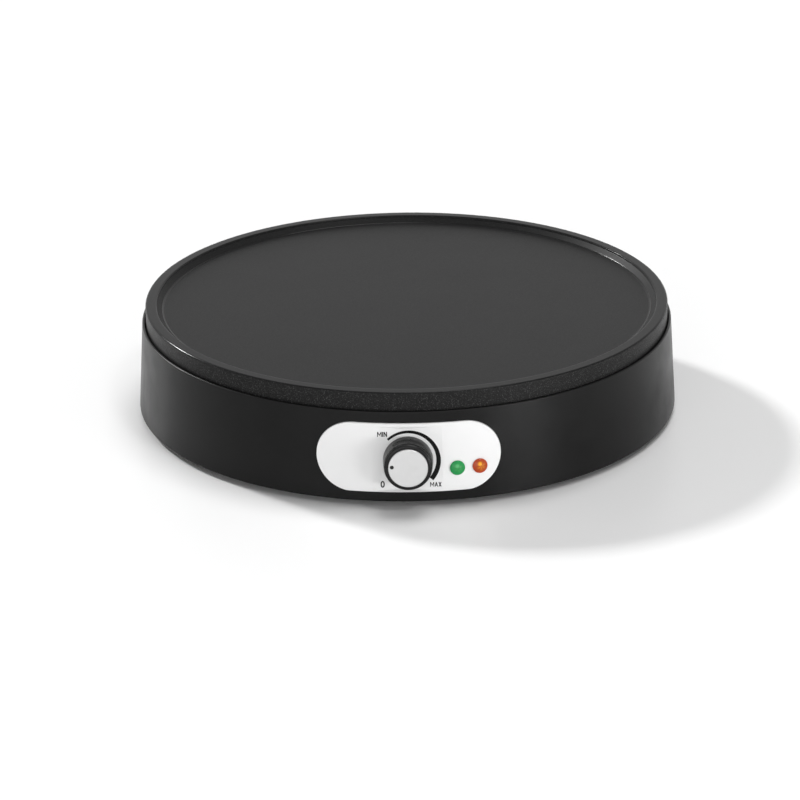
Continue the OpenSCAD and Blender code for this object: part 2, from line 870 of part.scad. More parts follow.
module vent_slot() {
    translate([vent_r, 0, cover_low - hole_spare])
        linear_extrude(height = cover_t + rib_h + 2 * hole_spare) {
            translate([vent_w / 2, -vent_w / 2]) square([vent_l - vent_w, vent_w]);
            for (x = [vent_w / 2, vent_l - vent_w / 2]) translate([x, 0]) circle(d = vent_w);
        }
}

module foot_cut() {
    translate([0, 0, cover_low - eps]) cylinder(d = foot_d + 2 * seat_gap, h = foot_seat + eps);
    translate([0, 0, cover_low]) cylinder(d = foot_stem_d + 2 * seat_gap, h = cover_t + eps);
}

// A rubber foot pushed through the cover, with a head that holds it
module rubber_feet() {
    foot_top = cover_low + foot_seat;
    placed() color([0.1, 0.1, 0.1])
        for (a = boss_angles)
            at_angle(a, foot_r)
                rotate_extrude()
                    polygon([
                        [0, 0], [foot_d / 2 - corner_r, 0], [foot_d / 2, corner_r], [foot_d / 2, foot_top],
                        [foot_stem_d / 2, foot_top], [foot_stem_d / 2, cover_top],
                        [foot_head_d / 2, cover_top], [foot_stem_d / 2, cover_top + foot_head_h],
                        [0, cover_top + foot_head_h]
                    ]);
}

module cover_screws() {
    placed() color([0.7, 0.7, 0.7])
        for (a = cover_screw_angles)
            at_angle(a, cover_screw_r)
                translate([0, 0, flange_low]) screw(m4, cover_t + cover_screw_bite);
}

// ---------- Control panel, lamps and dial ----------

// The panel follows the wall, with rounded long edges
module panel_shell() {
    inner = -panel_in;
    outer = panel_out;
    rotate_extrude()
        polygon(concat(
            [[wall_r(panel_low) + inner, panel_low]],
            arc([wall_r(panel_low) + outer - panel_round, panel_low + panel_round], panel_round, -90, 0),
            arc([wall_r(panel_top) + outer - panel_round, panel_top - panel_round], panel_round, 0, 90),
            [[wall_r(panel_top) + inner, panel_top]]
        ));
}

// The flat seat of the dial, with sloped ends that follow the wall
module dial_seat() {
    top = panel_top - seat_top_edge;
    low = panel_low + seat_low_edge;
    top_r = wall_r(top) + panel_out;
    low_r = wall_r(low) + panel_out;
    deep = 2 * seat_depth;
    over = 1;
    intersection() {
        rotate_extrude()
            polygon([
                [low_r + over, low - over / tan(seat_low_slope)],
                [top_r + over, top + over / tan(seat_top_slope)],
                [top_r - deep, top - deep / tan(seat_top_slope)],
                [low_r - deep, low + deep / tan(seat_low_slope)]
            ]);
        on_wall(0, dial_z)
            translate([-panel_w / 2, -panel_h, seat_level]) cube([panel_w, 2 * panel_h, panel_w]);
    }
}

module control_panel() {
    placed() color([0.93, 0.93, 0.92])
        difference() {
            intersection() {
                panel_shell();
                panel_prism(0);
            }
            dial_seat();
            wall_holes(seat_gap);
        }
}

// A domed lens with a hollow shank for its lamp
module lens(i) {
    dome_r = (pow(lens_d / 2, 2) + pow(lens_dome, 2)) / (2 * lens_dome);
    rim_back = panel_proud + seat_gap;
    rim_front = rim_back + lens_rim;
    placed() on_wall(lamp_angle(i), lamp_z)
        difference() {
            union() {
                translate([0, 0, rim_back]) cylinder(d = lens_d, h = lens_rim);
                intersection() {
                    translate([0, 0, rim_front - eps]) cylinder(d = lens_d, h = lens_dome + 1);
                    translate([0, 0, rim_front + lens_dome - dome_r]) sphere(r = dome_r);
                }
                translate([0, 0, lens_back]) cylinder(d = lens_shank_d, h = rim_back - lens_back + eps);
            }
            translate([0, 0, lens_back - eps]) cylinder(d = lens_bore_d, h = lens_floor - lens_back);
        }
}

module green_lens() {
    color([0.25, 0.62, 0.35]) lens(0);
}

module orange_lens() {
    color([0.88, 0.4, 0.12]) lens(1);
}

module lens_retainers() {
    placed() color([0.72, 0.72, 0.7])
        for (i = [0, 1])
            on_wall(lamp_angle(i), lamp_z)
                translate([0, 0, -wall_n - retainer_clear - retainer_t])
                    difference() {
                        cylinder(d = retainer_d, h = retainer_t);
                        translate([0, 0, -eps])
                            cylinder(d = lens_shank_d + 2 * seat_gap, h = retainer_t + 2 * eps);
                    }
}

module glow_lamps() {
    front = lens_floor - bulb_d / 2 - seat_gap;
    placed() color([0.85, 0.8, 0.75])
        for (i = [0, 1])
            on_wall(lamp_angle(i), lamp_z) {
                translate([0, 0, bulb_back]) cylinder(d = bulb_d, h = front - bulb_back);
                translate([0, 0, front]) sphere(d = bulb_d);
            }
}

module lamp_leads() {
    placed() color([0.9, 0.88, 0.85])
        for (i = [0, 1])
            lead([
                wall_point(lamp_angle(i), lamp_z, [0, 0, bulb_back - tab_gap]),
                wall_point(lamp_angle(i), lamp_z, [0, 0, bulb_back - lamp_loop]),
                wall_point(0, dial_z, [tab_x * (1 - 2 * i), tab_y, tab_end - lamp_loop - lamp_step * i]),
                wall_point(0, dial_z, [tab_x * (1 - 2 * i), tab_y, tab_end - tab_gap])
            ], 9, lamp_lead_d, [0, 0, 1]);
}

// The hollow knob, turned on the shaft axis
module dial_knob() {
    ring_r = dial_front_d / 2;
    skirt_front_r = ring_r + dial_step;
    placed() color([0.12, 0.12, 0.12])
        on_wall(0, dial_z)
            difference() {
                union() {
                    rotate_extrude()
                        polygon(concat(
                            [
                                [dial_d / 2 - dial_wall, dial_back], [dial_d / 2, dial_back],
                                [skirt_front_r, ring_back - dial_groove],
                                [ring_r - dial_groove, ring_back - dial_groove],
                                [ring_r - dial_groove, ring_back], [ring_r, ring_back]
                            ],
                            arc([ring_r - dial_round, dial_reach - dial_round], dial_round, 0, 90),
                            [
                                [cap_d / 2 + seat_gap, dial_reach], [cap_d / 2 + seat_gap, cap_back],
                                [0, cap_back], [0, web_back], [ring_r - dial_wall, web_back]
                            ]
                        ));
                    translate([0, 0, dial_back]) cylinder(d = hub_d, h = web_back - dial_back + eps);
                    for (a = [0:90:270])
                        rotate([0, 0, a])
                            translate([hub_d / 2 - eps, -rib_t / 2, dial_back + dial_wall])
                                cube([ring_r - dial_wall - hub_d / 2 + 2 * eps, rib_t,
                                    web_back - dial_back - dial_wall + eps]);
                }
                shaft_form(shaft_gap, dial_back - eps, web_back - seat_gap);
                rotate([0, 0, dot_angle])
                    translate([dot_r, 0, cap_back - dot_pin])
                        cylinder(d = dot_d + 2 * seat_gap, h = 2 * dot_pin);
            }
}

// A round shaft with a flat along its front part
module shaft_form(clearance, low, high) {
    difference() {
        translate([0, 0, low]) cylinder(d = shaft_d + 2 * clearance, h = high - low);
        translate([-shaft_d, shaft_d / 2 - shaft_flat + clearance, max(low, seat_level)])
            cube([2 * shaft_d, shaft_d, far]);
    }
}

module dial_cap() {
    placed() color([0.85, 0.85, 0.85])
        on_wall(0, dial_z)
            difference() {
                rotate_extrude()
                    polygon([
                        [0, cap_back], [cap_d / 2, cap_back], [cap_d / 2, cap_front - cap_edge],
                        [cap_d / 2 - cap_edge, cap_front], [0, cap_front]
                    ]);
                rotate([0, 0, dot_angle])
                    translate([dot_r, 0, cap_back - eps])
                        cylinder(d = dot_d + 2 * seat_gap, h = cap_front - cap_back + 2 * eps);
            }
}

module dial_dot() {
    placed() color([0.08, 0.08, 0.08])
        on_wall(0, dial_z)
            rotate([0, 0, dot_angle])
                translate([dot_r, 0, cap_back - dot_pin])
                    cylinder(d = dot_d, h = dot_pin + cap_front - cap_back);
}

// ---------- Thermostat ----------

module thermostat_shaft() {
    placed() color([0.75, 0.75, 0.75])
        on_wall(0, dial_z) shaft_form(0, shaft_back + shaft_gap, shaft_front);
}

module thermostat_bracket() {
    placed() color([0.7, 0.7, 0.7])
        on_wall(0, dial_z)
            translate([0, 0, bracket_back])
                difference() {
                    linear_extrude(height = bracket_t) {
                        square([thermostat_w, bracket_h], center = true);
                        translate([0, bracket_screw_y]) square([2 * bracket_screw_x, ear_h], center = true);
                        for (side = [-1, 1])
                            translate([side * bracket_screw_x, bracket_screw_y]) circle(d = ear_h);
                    }
                    translate([0, 0, -eps]) cylinder(d = collar_d + 2 * seat_gap, h = bracket_t + 2 * eps);
                    for (side = [-1, 1])
                        translate([side * bracket_screw_x, bracket_screw_y, 0])
                            screw_hole(m3, bracket_t + hole_spare);
                }
}

module bracket_screws() {
    placed() color([0.7, 0.7, 0.7])
        on_wall(0, dial_z)
            for (side = [-1, 1])
                translate([side * bracket_screw_x, bracket_screw_y, bracket_back])
                    screw(m3, bracket_t + bracket_screw_bite);
}

module thermostat_body() {
    placed() color([0.3, 0.26, 0.22])
        on_wall(0, dial_z)
            difference() {
                union() {
                    translate([-thermostat_w / 2, -thermostat_h / 2, body_back])
                        cube([thermostat_w, thermostat_h, thermostat_l]);
                    translate([0, 0, bracket_back - eps])
                        cylinder(d = collar_d, h = collar_front - bracket_back + eps);
                }
                translate([0, 0, shaft_back])
                    cylinder(d = shaft_d + 2 * shaft_gap, h = collar_front - shaft_back + eps);
            }
}

module thermostat_nut() {
    placed() color([0.72, 0.72, 0.7])
        on_wall(0, dial_z)
            translate([0, 0, -bracket_depth])
                difference() {
                    cylinder(d = nut_d, h = nut_h, $fn = 6);
                    translate([0, 0, -eps]) cylinder(d = collar_d + 2 * seat_gap, h = nut_h + 2 * eps);
                }
}

module thermostat_tabs() {
    placed() color([0.75, 0.75, 0.74])
        on_wall(0, dial_z)
            for (x = [-tab_x, tab_x], y = [-tab_y, tab_y])
                translate([x - tab_w / 2, y - tab_t / 2, tab_end]) cube([tab_w, tab_t, tab_l]);
}

// ---------- Mains connections ----------

module terminal_block() {
    placed() color([0.92, 0.9, 0.84])
        difference() {
            translate([-block_w / 2, block_face, cover_top]) cube([block_w, block_l, block_h]);
            for (x = [-pole_pitch, 0, pole_pitch]) {
                translate([x, block_face - eps, pole_z])
                    rotate([-90, 0, 0]) cylinder(d = pole_hole, h = block_l + 2 * eps);
                translate([x, block_y, pole_z])
                    cylinder(d = pole_screw_d + 2 * seat_gap, h = block_h);
            }
        }
}

module terminal_screws() {
    screw_low = pole_z + pole_hole / 2;
    placed() color([0.8, 0.66, 0.32])
        for (x = [-pole_pitch, 0, pole_pitch])
            translate([x, block_y, screw_low])
                cylinder(d = pole_screw_d, h = min(pole_screw_h, cover_top + block_h - screw_low - 0.5));
}

module cord_gland() {
    flange_r = gland_neck / 2 + gland_lip;
    inner_face = -wall_n - sagitta(flange_r, gland_z) - seat_gap;
    placed() color([0.1, 0.1, 0.1])
        on_wall(180, gland_z)
            rotate_extrude()
                polygon(concat(
                    [
                        [gland_bore / 2, inner_face - gland_back], [flange_r - 1, inner_face - gland_back],
                        [flange_r, inner_face], [gland_neck / 2, inner_face], [gland_neck / 2, -gland_flat],
                        [flange_r, -gland_flat]
                    ],
                    arc([flange_r - 1, gland_front - 1], 1, 0, 90),
                    [[gland_bore / 2, gland_front]]
                ));
}

function pole(x) = [x, block_face - tab_gap, pole_z];
function tab(x) = wall_point(0, dial_z, [x, -tab_y, tab_end - tab_gap]);

module wire(points, steps, tint) {
    placed() color(tint) lead(points, steps, lead_d);
}

module live_wire() {
    wire([
        pole(-pole_pitch), pole(-pole_pitch) - [0, live_pull, 0],
        tab(-tab_x) + [0, live_pull, 0], tab(-tab_x)
    ], 12, [0.45, 0.28, 0.18]);
}

module switched_wire() {
    fuse_end = [0, fuse_y - tab_gap, under_z - seat_gap - fuse_d / 2];
    wire([
        tab(tab_x), tab(tab_x) + switched_pull, fuse_end - [0, fuse_pull, fuse_drop], fuse_end
    ], 14, [0.85, 0.84, 0.8]);
}

module fused_wire() {
    fuse_end = [0, fuse_y + fuse_l + tab_gap, under_z - seat_gap - fuse_d / 2];
    tab_tip = [-pin_x, pin_y, element_tab_z - tab_gap];
    wire([
        fuse_end, fuse_end + [0, fuse_loop, 0], tab_tip - [0, 0, fuse_loop], tab_tip
    ], 9, [0.85, 0.84, 0.8]);
}

module neutral_wire() {
    tab_tip = [pin_x, pin_y, element_tab_z - tab_gap];
    wire([
        pole(pole_pitch), pole(pole_pitch) - [0, pole_pull, 0], tab_tip - [0, 0, tab_pull], tab_tip
    ], 8, [0.25, 0.42, 0.68]);
}

module earth_wire() {
    lug_tip = [earth_x, earth_y + lug_d + tab_gap, under_z - earth_boss_h - lead_d / 2];
    wire([
        pole(0), pole(0) - [0, earth_pull, 0], lug_tip + [0, lug_pull, 0], lug_tip
    ], 9, [0.55, 0.65, 0.2]);
}

hot_plate();
heating_element();
element_insulators();
element_tabs();
insulating_bushes();
plate_screws();
heat_shield();
shield_screws();
thermal_fuse();
sensor_bulb();
capillary_tube();
sensor_clips();
clip_screws();
earth_lug();
earth_screw();
housing();
bottom_cover();
cover_screws();
rubber_feet();
control_panel();
green_lens();
orange_lens();
lens_retainers();
glow_lamps();
lamp_leads();
thermostat_bracket();
bracket_screws();
thermostat_body();
thermostat_nut();
thermostat_tabs();
thermostat_shaft();
dial_knob();
dial_cap();
dial_dot();
terminal_block();
terminal_screws();
cord_gland();
live_wire();
switched_wire();
fused_wire();
neutral_wire();
earth_wire();
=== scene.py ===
"""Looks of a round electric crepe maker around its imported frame. Metres, +Z up, the dial faces -Y.

A tone is linear, from 0 for black to 1 for white. A noise scale is in waves for each metre.
"""

import json
import math

import bmesh
import bpy
from mathutils import Matrix, Vector


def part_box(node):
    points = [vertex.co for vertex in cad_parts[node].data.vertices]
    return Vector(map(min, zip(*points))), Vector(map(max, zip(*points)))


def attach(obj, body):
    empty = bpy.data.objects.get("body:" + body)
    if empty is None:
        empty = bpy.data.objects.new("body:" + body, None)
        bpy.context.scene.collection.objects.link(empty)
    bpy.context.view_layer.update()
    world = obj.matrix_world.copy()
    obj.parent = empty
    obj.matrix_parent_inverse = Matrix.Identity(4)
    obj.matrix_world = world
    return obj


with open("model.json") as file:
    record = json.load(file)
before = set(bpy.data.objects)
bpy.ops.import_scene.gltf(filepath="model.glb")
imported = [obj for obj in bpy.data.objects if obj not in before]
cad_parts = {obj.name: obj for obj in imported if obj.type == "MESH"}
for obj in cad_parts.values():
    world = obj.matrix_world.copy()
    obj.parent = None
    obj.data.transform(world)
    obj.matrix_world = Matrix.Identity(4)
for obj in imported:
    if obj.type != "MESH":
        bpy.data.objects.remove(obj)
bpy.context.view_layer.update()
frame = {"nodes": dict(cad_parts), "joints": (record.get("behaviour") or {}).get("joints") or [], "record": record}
MM = 0.001


# ---------- Places that follow the frame ----------

plate_low, plate_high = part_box("hot_plate")
AXIS_Y = (plate_low.y + plate_high.y) / 2  # the cooker's upright axis stands here, at x = 0
PLATE_R = max(plate_high.x, -plate_low.x)  # the larger, because facets cut a circle short
WALL_LEAN = math.radians(3.56)  # of the housing's wall, from upright
SEAT_LEVEL = -0.3 * MM  # the panel's flat seat, along the dial's axis from the joint

dial_joint = frame["joints"][0]
DIAL = Vector(dial_joint["pos_m"])
DIAL_OUT = -Vector(dial_joint["axis"]).normalized()


def frame_at(place, out):
    """A frame with z along out, x to the right and y up."""
    right = Vector((0, 0, 1)).cross(out).normalized()
    up = out.cross(right)
    return Matrix((
        (right.x, up.x, out.x, place.x),
        (right.y, up.y, out.y, place.y),
        (right.z, up.z, out.z, place.z),
        (0, 0, 0, 1),
    ))


DIAL_FRAME = frame_at(DIAL, DIAL_OUT)


def lens_frame(node):
    """A frame at the middle of a lens, with z square to the wall."""
    low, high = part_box(node)
    middle = (low + high) / 2
    angle = math.atan2(middle.x, AXIS_Y - middle.y)
    out = Vector((
        math.sin(angle) * math.cos(WALL_LEAN),
        -math.cos(angle) * math.cos(WALL_LEAN),
        math.sin(WALL_LEAN),
    ))
    return frame_at(middle, out)


# ---------- Material helpers ----------


def in_metres(span):
    """A pair of lengths, from millimetres."""
    return tuple(length * MM for length in span)


def tone(colour, factor=1.0):
    """A grey level or a colour, times a factor, as the shader takes it."""
    parts = (colour,) * 3 if isinstance(colour, (int, float)) else colour
    return tuple(part * factor for part in parts) + (1.0,)


# The mix node's sockets for colours.
MIX_FACTOR = 0
MIX_A = 6
MIX_B = 7
MIX_RESULT = 2


class Nodes:
    """A material's node tree, with short ways to add and link nodes."""

    def __init__(self, name):
        self.material = bpy.data.materials.new(name)
        self.material.use_nodes = True
        self.tree = self.material.node_tree
        self.bsdf = next(n for n in self.tree.nodes if n.type == "BSDF_PRINCIPLED")
        self.place = self.add("ShaderNodeTexCoord").outputs["Object"]

    def add(self, kind, **settings):
        """A new node of a kind, with its settings."""
        node = self.tree.nodes.new(kind)
        for key, value in settings.items():
            setattr(node, key, value)
        return node

    def feed(self, socket, value):
        """Links an input to another node's output, or gives it a plain value."""
        if hasattr(value, "is_output"):
            self.tree.links.new(value, socket)
        else:
            socket.default_value = value

    def set(self, **values):
        """Feeds the surface shader. A _ in a key stands for a space in the socket's name."""
        for key, value in values.items():
            self.feed(self.bsdf.inputs[key.replace("_", " ")], value)

    def math(self, operation, a, b=0.0):
        """One step of arithmetic on two numbers. A step that takes one number ignores b."""
        node = self.add("ShaderNodeMath", operation=operation)
        self.feed(node.inputs[0], a)
        self.feed(node.inputs[1], b)
        return node.outputs[0]

    def times(self, a, b):
        return self.math("MULTIPLY", a, b)

    def plus(self, a, b):
        return self.math("ADD", a, b)

    def minus(self, a, b):
        return self.math("SUBTRACT", a, b)

    def length(self, x, y):
        """How far the place at x and y is from the middle."""
        return self.math("SQRT", self.plus(self.times(x, x), self.times(y, y)))

    def mapped(self, scale=(1, 1, 1), matrix=None):
        """Object coordinates, stretched or moved into a local frame."""
        node = self.add("ShaderNodeMapping")
        self.feed(node.inputs["Vector"], self.place)
        node.inputs["Scale"].default_value = scale
        if matrix is not None:
            back = matrix.inverted()
            node.inputs["Rotation"].default_value = back.to_euler()
            node.inputs["Location"].default_value = back.translation
        return node.outputs["Vector"]

    def split(self, vector):
        """The x, y and z of a vector."""
        node = self.add("ShaderNodeSeparateXYZ")
        self.feed(node.inputs[0], vector)
        return node.outputs["X"], node.outputs["Y"], node.outputs["Z"]

    def noise(self, scale, detail, roughness=0.55, vector=None):
        """Noise from 0 to 1, most of it near 0.5."""
        node = self.add("ShaderNodeTexNoise")
        self.feed(node.inputs["Vector"], vector or self.place)
        node.inputs["Scale"].default_value = scale
        node.inputs["Detail"].default_value = detail
        node.inputs["Roughness"].default_value = roughness
        return node.outputs["Fac"]

    def spread(self, value, low, high, to_low=0.0, to_high=1.0):
        """A value's range from low to high, spread over another range and held at its ends."""
        node = self.add("ShaderNodeMapRange")
        self.feed(node.inputs["Value"], value)
        node.inputs["From Min"].default_value = low
        node.inputs["From Max"].default_value = high
        node.inputs["To Min"].default_value = to_low
        node.inputs["To Max"].default_value = to_high
        return node.outputs["Result"]

    def fade(self, value, low, high):
        """1 up to low, falling to 0 at high."""
        return self.spread(value, low, high, 1, 0)

    def ring(self, radius, inner, outer, soft):
        """1 between two radii, 0 elsewhere, with soft edges outside them."""
        rise = self.spread(radius, inner - soft, inner)
        return self.times(rise, self.fade(radius, outer, outer + soft))

    def mix(self, factor, a, b):
        """A colour from a, where factor is 0, to b, where it is 1."""
        node = self.add("ShaderNodeMix", data_type="RGBA")
        self.feed(node.inputs[MIX_FACTOR], factor)
        self.feed(node.inputs[MIX_A], a)
        self.feed(node.inputs[MIX_B], b)
        return node.outputs[MIX_RESULT]

    def bump(self, height, distance, below=None):
        """A normal from a height that runs from 0 to 1, over another bump or the plain surface."""
        node = self.add("ShaderNodeBump")
        self.feed(node.inputs["Height"], height)
        node.inputs["Distance"].default_value = distance
        if below is not None:
            self.feed(node.inputs["Normal"], below)
        return node.outputs["Normal"]


# ---------- Moulded, cast, plated and rubber surfaces ----------

# Parts of a noise's values. A value beyond its part counts as the nearer end.
WIDE_BAND = (0.25, 0.75)
BAND = (0.3, 0.7)
NARROW_BAND = (0.35, 0.65)
GRAIN_LIFT = 1.6  # how many times paler than the rest a full grain is


def moulded(name, colour, rough, metal=0.0, specular=0.5, mottle=(60, 0.12), grain=(2500, 0.2),
            rough_spread=0.05, relief=(2500, 0.006), stretch=(1, 1, 1)):
    """Two scales of colour variation, uneven gloss and a fine relief.

    mottle is a noise scale and the share by which the tone drifts, grain is a scale and the share of
    the paler tone, and relief is a scale and a height in millimetres.
    """
    mottle_scale, drift = mottle
    grain_scale, grain_share = grain
    relief_scale, relief_height = relief
    n = Nodes(name)
    place = n.mapped(stretch)
    broad = n.noise(mottle_scale, detail=4, vector=place)
    fine = n.noise(grain_scale, detail=2, vector=place)
    base = n.mix(n.spread(broad, *BAND), tone(colour, 1 - drift), tone(colour, 1 + drift))
    base = n.mix(n.spread(fine, *NARROW_BAND, 0, grain_share), base, tone(colour, GRAIN_LIFT))
    height = n.noise(relief_scale, detail=3, vector=place)
    n.set(
        Base_Color=base,
        Roughness=n.spread(broad, *WIDE_BAND, rough - rough_spread, rough + rough_spread),
        Metallic=metal,
        Specular_IOR_Level=specular,
        Normal=n.bump(height, relief_height * MM),
    )
    return n.material


FINISHES = {
    # Seen from outside
    "housing_plastic": dict(colour=0.0045, rough=0.34, specular=0.14, grain=(3000, 0.15),
                            relief=(2600, 0.005)),
    "cover_plastic": dict(colour=0.012, rough=0.5, specular=0.35, relief=(1800, 0.012)),
    "panel_plastic": dict(colour=0.84, rough=0.34, mottle=(40, 0.01), grain=(4000, 0.015),
                          relief=(3500, 0.002)),
    "knob_plastic": dict(colour=0.004, rough=0.28, specular=0.22, grain=(3500, 0.25),
                         relief=(2800, 0.01)),
    "dot_plastic": dict(colour=0.006, rough=0.45, specular=0.3),
    "foot_rubber": dict(colour=0.018, rough=0.72, specular=0.3, relief=(1600, 0.02)),
    "gland_rubber": dict(colour=0.014, rough=0.62, specular=0.3, relief=(1600, 0.015)),
    # Metal
    "zinc_screws": dict(colour=0.62, rough=0.34, metal=1, mottle=(700, 0.1), relief=(5000, 0.003)),
    "zinc_sheet": dict(colour=0.58, rough=0.4, metal=1, mottle=(200, 0.12), relief=(900, 0.004)),
    "tab_metal": dict(colour=0.68, rough=0.34, metal=1, mottle=(300, 0.1), stretch=(1, 6, 1)),
    "shield_sheet": dict(colour=0.62, rough=0.38, metal=1, mottle=(60, 0.14), stretch=(1, 8, 1)),
    "element_steel": dict(colour=(0.34, 0.32, 0.3), rough=0.5, metal=1, mottle=(150, 0.2)),
    "shaft_steel": dict(colour=0.58, rough=0.3, metal=1, mottle=(500, 0.1)),
    "copper_parts": dict(colour=(0.62, 0.36, 0.22), rough=0.35, metal=1, mottle=(400, 0.15)),
    "brass_parts": dict(colour=(0.68, 0.5, 0.2), rough=0.34, metal=1, mottle=(500, 0.12)),
    # Ceramic, glass and the sleeves that take heat
    "ceramic_beads": dict(colour=(0.8, 0.77, 0.7), rough=0.6, mottle=(300, 0.06)),
    "ceramic_bushes": dict(colour=(0.82, 0.8, 0.74), rough=0.6, mottle=(300, 0.06)),
    "lamp_glass": dict(colour=(0.75, 0.7, 0.62), rough=0.1, mottle=(400, 0.08), rough_spread=0.03),
    "fuse_sleeve": dict(colour=(0.76, 0.73, 0.66), rough=0.65, mottle=(300, 0.08)),
    "pale_sleeve": dict(colour=(0.74, 0.71, 0.64), rough=0.75, mottle=(900, 0.12),
                        relief=(1800, 0.03)),
    # Plastics inside
    "thermostat_case": dict(colour=(0.09, 0.06, 0.045), rough=0.5, mottle=(200, 0.15)),
    "block_plastic": dict(colour=(0.8, 0.77, 0.7), rough=0.42, mottle=(150, 0.05)),
    "brown_sleeve": dict(colour=(0.18, 0.08, 0.035), rough=0.4),
    "blue_sleeve": dict(colour=(0.04, 0.13, 0.38), rough=0.4),
    "green_yellow_sleeve": dict(colour=(0.3, 0.42, 0.05), rough=0.4),
}


# ---------- The cooking plate's coating ----------

# Radii from the cooker's axis.
RIM_FOOT = (PLATE_R - 11.6 * MM, PLATE_R - 11.1 * MM)  # around the edge of the cooking flat
RIM_WALL = (PLATE_R - 10.05 * MM, PLATE_R - 7.35 * MM)  # the sloped wall of the recess
WALL_SOFT = 0.15 * MM  # how far the edges of that ring fade

# A face is upright by 1 where its normal's z is below the first value, and by 0 above the second.
UPRIGHT = (0.35, 0.85)
RIM_UPRIGHT = (0.6, 1.0)  # how upright a face is where the gloss of the rim fades out

FLAT_TONES = (0.0055, 0.0072)
# upright faces are lighter: partly the band's cast finish, partly painted sheen
BAND_TONE_AND_SHEEN = 0.013
FLECK_TONE = 0.075
FLECK_VALUES = (0.55, 0.7)
FLECKS_ON_FLAT = 0.12
FLECKS_AND_SPARKLE_ADDED_ON_BAND = 0.75  # the band is the plate's upright outside; its extra flecks are partly cast texture, partly painted sparkle

COATING_ROUGH = (0.35, 0.42)
CLOUD_ROUGH = 0.015
RIM_GLOSS = 0.22  # taken off the roughness past the foot
WALL_DULLNESS = 0.3  # added to it on the wall
PEBBLE_HEIGHT = 0.16 * MM
GRAIN_HEIGHT = 0.012 * MM


def plate_coating():
    """Dark non-stick coating: fine pebbles, coarser on the upright band, with pale flecks. Upright faces are
    lighter and more flecked, partly from their cast texture and partly as painted sheen and sparkle.
    """
    n = Nodes("plate_coating")
    grain = n.noise(scale=2600, detail=2)
    pebble = n.noise(scale=1100, detail=3, roughness=0.65)
    fleck = n.noise(scale=1700, detail=2)
    cloud = n.noise(scale=22, detail=4)

    _, _, normal_z = n.split(n.add("ShaderNodeNewGeometry").outputs["Normal"])
    upright = n.fade(n.math("ABSOLUTE", normal_z), *UPRIGHT)
    x, y, _ = n.split(n.place)
    radius = n.length(x, n.minus(y, AXIS_Y))
    rim = n.times(n.spread(radius, *RIM_FOOT), n.fade(upright, *RIM_UPRIGHT))
    wall = n.ring(radius, *RIM_WALL, WALL_SOFT)

    dark, less_dark = FLAT_TONES
    base = n.mix(n.spread(cloud, *BAND), tone(dark), tone(less_dark))
    # upright faces get a lighter tone and more flecks: partly cast texture, partly painted sheen and sparkle
    base = n.mix(upright, base, tone(BAND_TONE_AND_SHEEN))
    fleck_share = n.plus(n.times(upright, FLECKS_AND_SPARKLE_ADDED_ON_BAND), FLECKS_ON_FLAT)
    flecks = n.times(n.spread(fleck, *FLECK_VALUES), fleck_share)
    base = n.mix(flecks, base, tone(FLECK_TONE))

    rough = n.spread(pebble, *BAND, *COATING_ROUGH)
    rough = n.plus(rough, n.spread(cloud, *BAND, -CLOUD_ROUGH, CLOUD_ROUGH))
    rough = n.minus(rough, n.times(rim, RIM_GLOSS))
    rough = n.plus(rough, n.times(wall, WALL_DULLNESS))

    relief = n.bump(n.times(pebble, upright), PEBBLE_HEIGHT)
    n.set(
        Base_Color=base,
        Roughness=rough,
        Specular_IOR_Level=0.07,
        Normal=n.bump(grain, GRAIN_HEIGHT, relief),
    )
    return n.material


# ---------- The dial's cap ----------

CAP_TONES = (0.525, 0.54)
CAP_ROUGH = (0.30, 0.40)
CAP_RING_HEIGHT = 0.003 * MM


def spun_cap():
    """Spun aluminium: fine rings around the dial axis."""
    n = Nodes("cap_metal")
    x, y, _ = n.split(n.mapped(matrix=DIAL_FRAME))
    outwards = n.add("ShaderNodeCombineXYZ")
    n.feed(outwards.inputs["X"], n.length(x, y))
    rings = n.noise(scale=7000, detail=2, vector=outwards.outputs[0])
    cloud = n.noise(scale=260, detail=3)
    dark, pale = CAP_TONES
    n.set(
        Base_Color=n.mix(n.spread(cloud, *BAND), tone(dark), tone(pale)),
        Roughness=n.spread(rings, *BAND, *CAP_ROUGH),
        Metallic=1.0,
        Normal=n.bump(rings, CAP_RING_HEIGHT),
    )
    return n.material


# ---------- The lenses ----------

# Radii and places are in millimetres from the middle of a lens, seen from the front.
LENS_EDGE = (2.0, 4.0)  # where the body's colour turns into the edge's
PAINTED_GLOW_REACH = (0.6, 3.2)  # where the painted glow of the lit lamp behind fades out
# where a painted highlight spot sits, left of and above the lens's middle
HIGHLIGHT_SPOT = (-0.7, 1.4)
HIGHLIGHT_SPOT_REACH = (0.4, 1.5)  # radii around the painted highlight spot, where it fades out
FACETS = 6
FACET_VALUES = (0.25, 0.85)
FACET_SHADE = 0.15  # what is left of the painted glow between two facets
FACET_ROUGH = (0.10, 0.2)
FACET_REACH = (0.3, 2.8)  # where the facets flatten out
FACET_HEIGHT = 0.25 * MM
CLOUD_VALUES = (0.4, 0.6)
CLOUD_SHADE = 0.8

# painted_glow_tone, painted_highlight and painted_glow_strength are painted light of the lit lamp behind each lens
LENSES = {
    "green_lens": dict(edge=(0.014, 0.26, 0.068), body=(0.02, 0.26, 0.06), painted_glow_tone=(0.045, 0.32, 0.09),
                       painted_highlight=(0.09, 0.42, 0.15), painted_glow_strength=0.1),
    "orange_lens": dict(edge=(0.36, 0.045, 0.012), body=(0.34, 0.05, 0.008), painted_glow_tone=(0.62, 0.2, 0.01),
                        painted_highlight=(0.9, 0.42, 0.03), painted_glow_strength=0.2),
}


